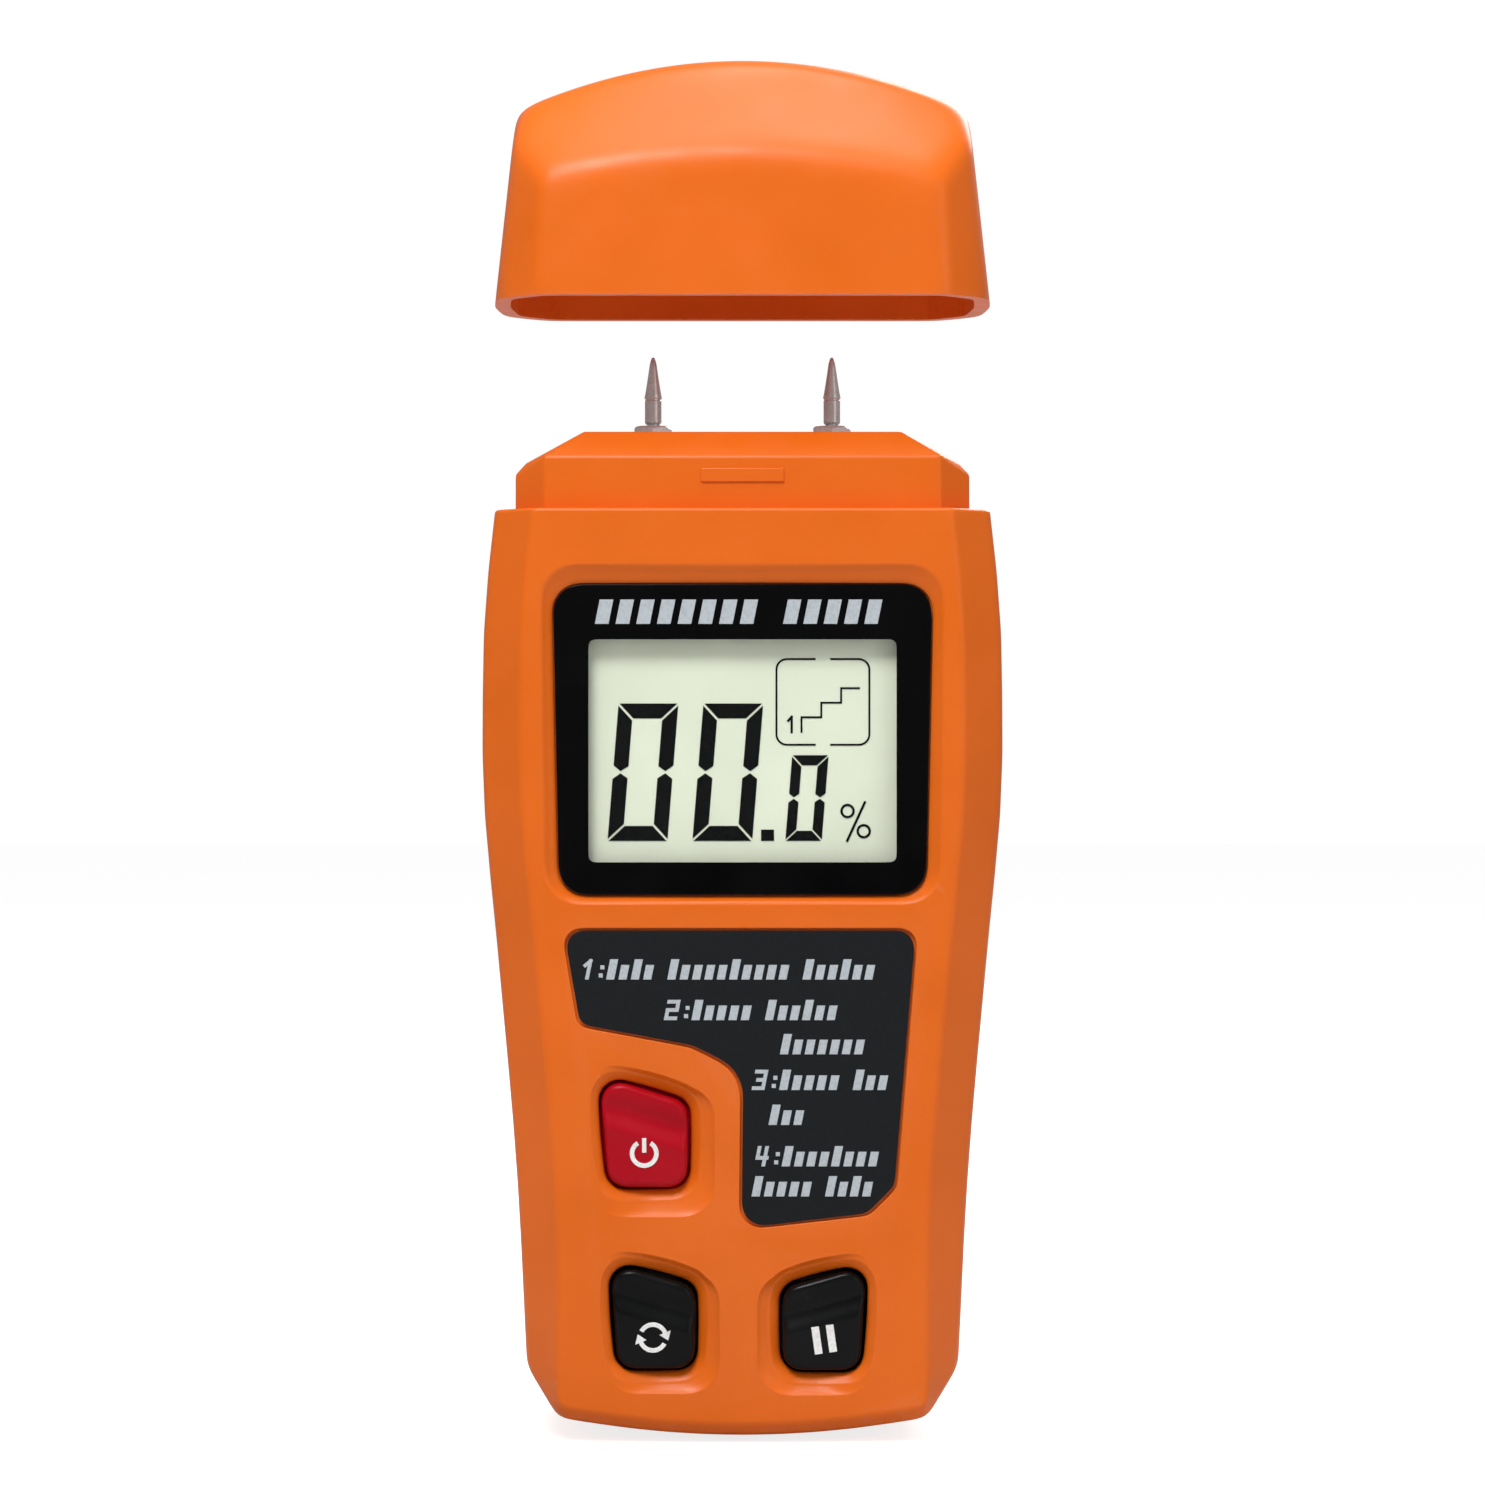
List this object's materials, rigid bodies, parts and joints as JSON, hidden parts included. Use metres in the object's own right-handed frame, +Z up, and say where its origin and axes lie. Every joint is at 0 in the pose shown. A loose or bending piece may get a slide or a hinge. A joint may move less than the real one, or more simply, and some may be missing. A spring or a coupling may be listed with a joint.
{
  "type": "moisture meter",
  "caption": "Hand-held pin moisture meter for wood: a bevelled two-shell case with a display window and press keys, bare needle pins on a narrow head, and a slip-on pin cap.",
  "frame": {"origin": "under the middle of the rounded lower end of the case, on the plane where the two shells part", "axes": "+Z up along the needle pins, -Y out of the display face, +X to the user's right when the display faces the user"},
  "size_m": [0.066, 0.033, 0.1724],
  "materials": {
    "battery_can": "printed steel battery case, no lettering",
    "black_key": "satin black plastic, white legend mark",
    "black_parts": "black moulded component body",
    "black_wire": "black insulated wire",
    "blue_part": "blue moulded trimmer body",
    "brass": "plain turned brass",
    "capacitor_can": "dark sleeve shrunk on an aluminium can",
    "circuit_board": "green solder mask on glass-epoxy board",
    "holder": "off-white moulded plastic",
    "label": "matte black printed film with pale marks",
    "lcd": "pale green-grey liquid crystal display with black segments",
    "nickel": "nickel-plated steel, lightly scuffed",
    "orange_plastic": "satin moulded orange plastic with a very fine texture",
    "plunger": "pale moulded plunger",
    "red_key": "satin deep red plastic, white legend mark",
    "red_wire": "red insulated wire",
    "screw_steel": "dark plated steel",
    "snap_rubber": "soft black vinyl",
    "window": "gloss black printed border round a clear pane",
    "zebra": "striped conductive rubber strip"
  },
  "bodies": {
    "meter": {"battery_9v": "battery_can", "battery_lead_black": "black_wire", "battery_lead_red": "red_wire", "battery_snap": "snap_rubber", "board_screw_lower_left": "screw_steel", "board_screw_lower_right": "screw_steel", "board_screw_upper_left": "screw_steel", "board_screw_upper_right": "screw_steel", "case_screw_lower_left": "screw_steel", "case_screw_lower_right": "screw_steel", "case_screw_upper_left": "screw_steel", "case_screw_upper_right": "screw_steel", "controller_chip": "black_parts", "electrolytic_capacitor": "capacitor_can", "facia_label": "label", "front_shell": "orange_plastic", "hold_switch": "black_parts", "lcd_glass": "lcd", "lcd_holder": "holder", "main_board": "circuit_board", "mode_switch": "black_parts", "needle_left": "nickel", "needle_right": "nickel", "power_switch": "black_parts", "probe_wire_left": "red_wire", "probe_wire_right": "red_wire", "rear_shell": "orange_plastic", "solder_lug_left": "brass", "solder_lug_right": "brass", "terminal_left": "nickel", "terminal_nut_left": "brass", "terminal_nut_right": "brass", "terminal_right": "nickel", "trim_potentiometer": "blue_part", "window_lens": "window", "zebra_strip_lower": "zebra", "zebra_strip_upper": "zebra"},
    "cap": {"cap": "orange_plastic"},
    "power_key": {"power_key": "red_key", "power_plunger": "plunger"},
    "mode_key": {"mode_key": "black_key", "mode_plunger": "plunger"},
    "hold_key": {"hold_key": "black_key", "hold_plunger": "plunger"},
    "battery_door": {"battery_door": "orange_plastic"}
  },
  "joints": [
    {"name": "cap_slide", "type": "slide", "parent": "meter", "child": "cap", "axis": [0, 0, 1], "range_m": [-0.026, 0.012]},
    {"name": "power_press", "type": "slide", "parent": "meter", "child": "power_key", "axis": [0, 1, 0], "range_m": [0, 0.0005], "stiffness_N_per_m": 250},
    {"name": "mode_press", "type": "slide", "parent": "meter", "child": "mode_key", "axis": [0, 1, 0], "range_m": [0, 0.0005], "stiffness_N_per_m": 250},
    {"name": "hold_press", "type": "slide", "parent": "meter", "child": "hold_key", "axis": [0, 1, 0], "range_m": [0, 0.0005], "stiffness_N_per_m": 250},
    {"name": "battery_door_hinge", "type": "hinge", "parent": "meter", "child": "battery_door", "pos_m": [0, 0.0165, 0.01035], "axis": [-1, 0, 0], "range_deg": [0, 75]}
  ]
}
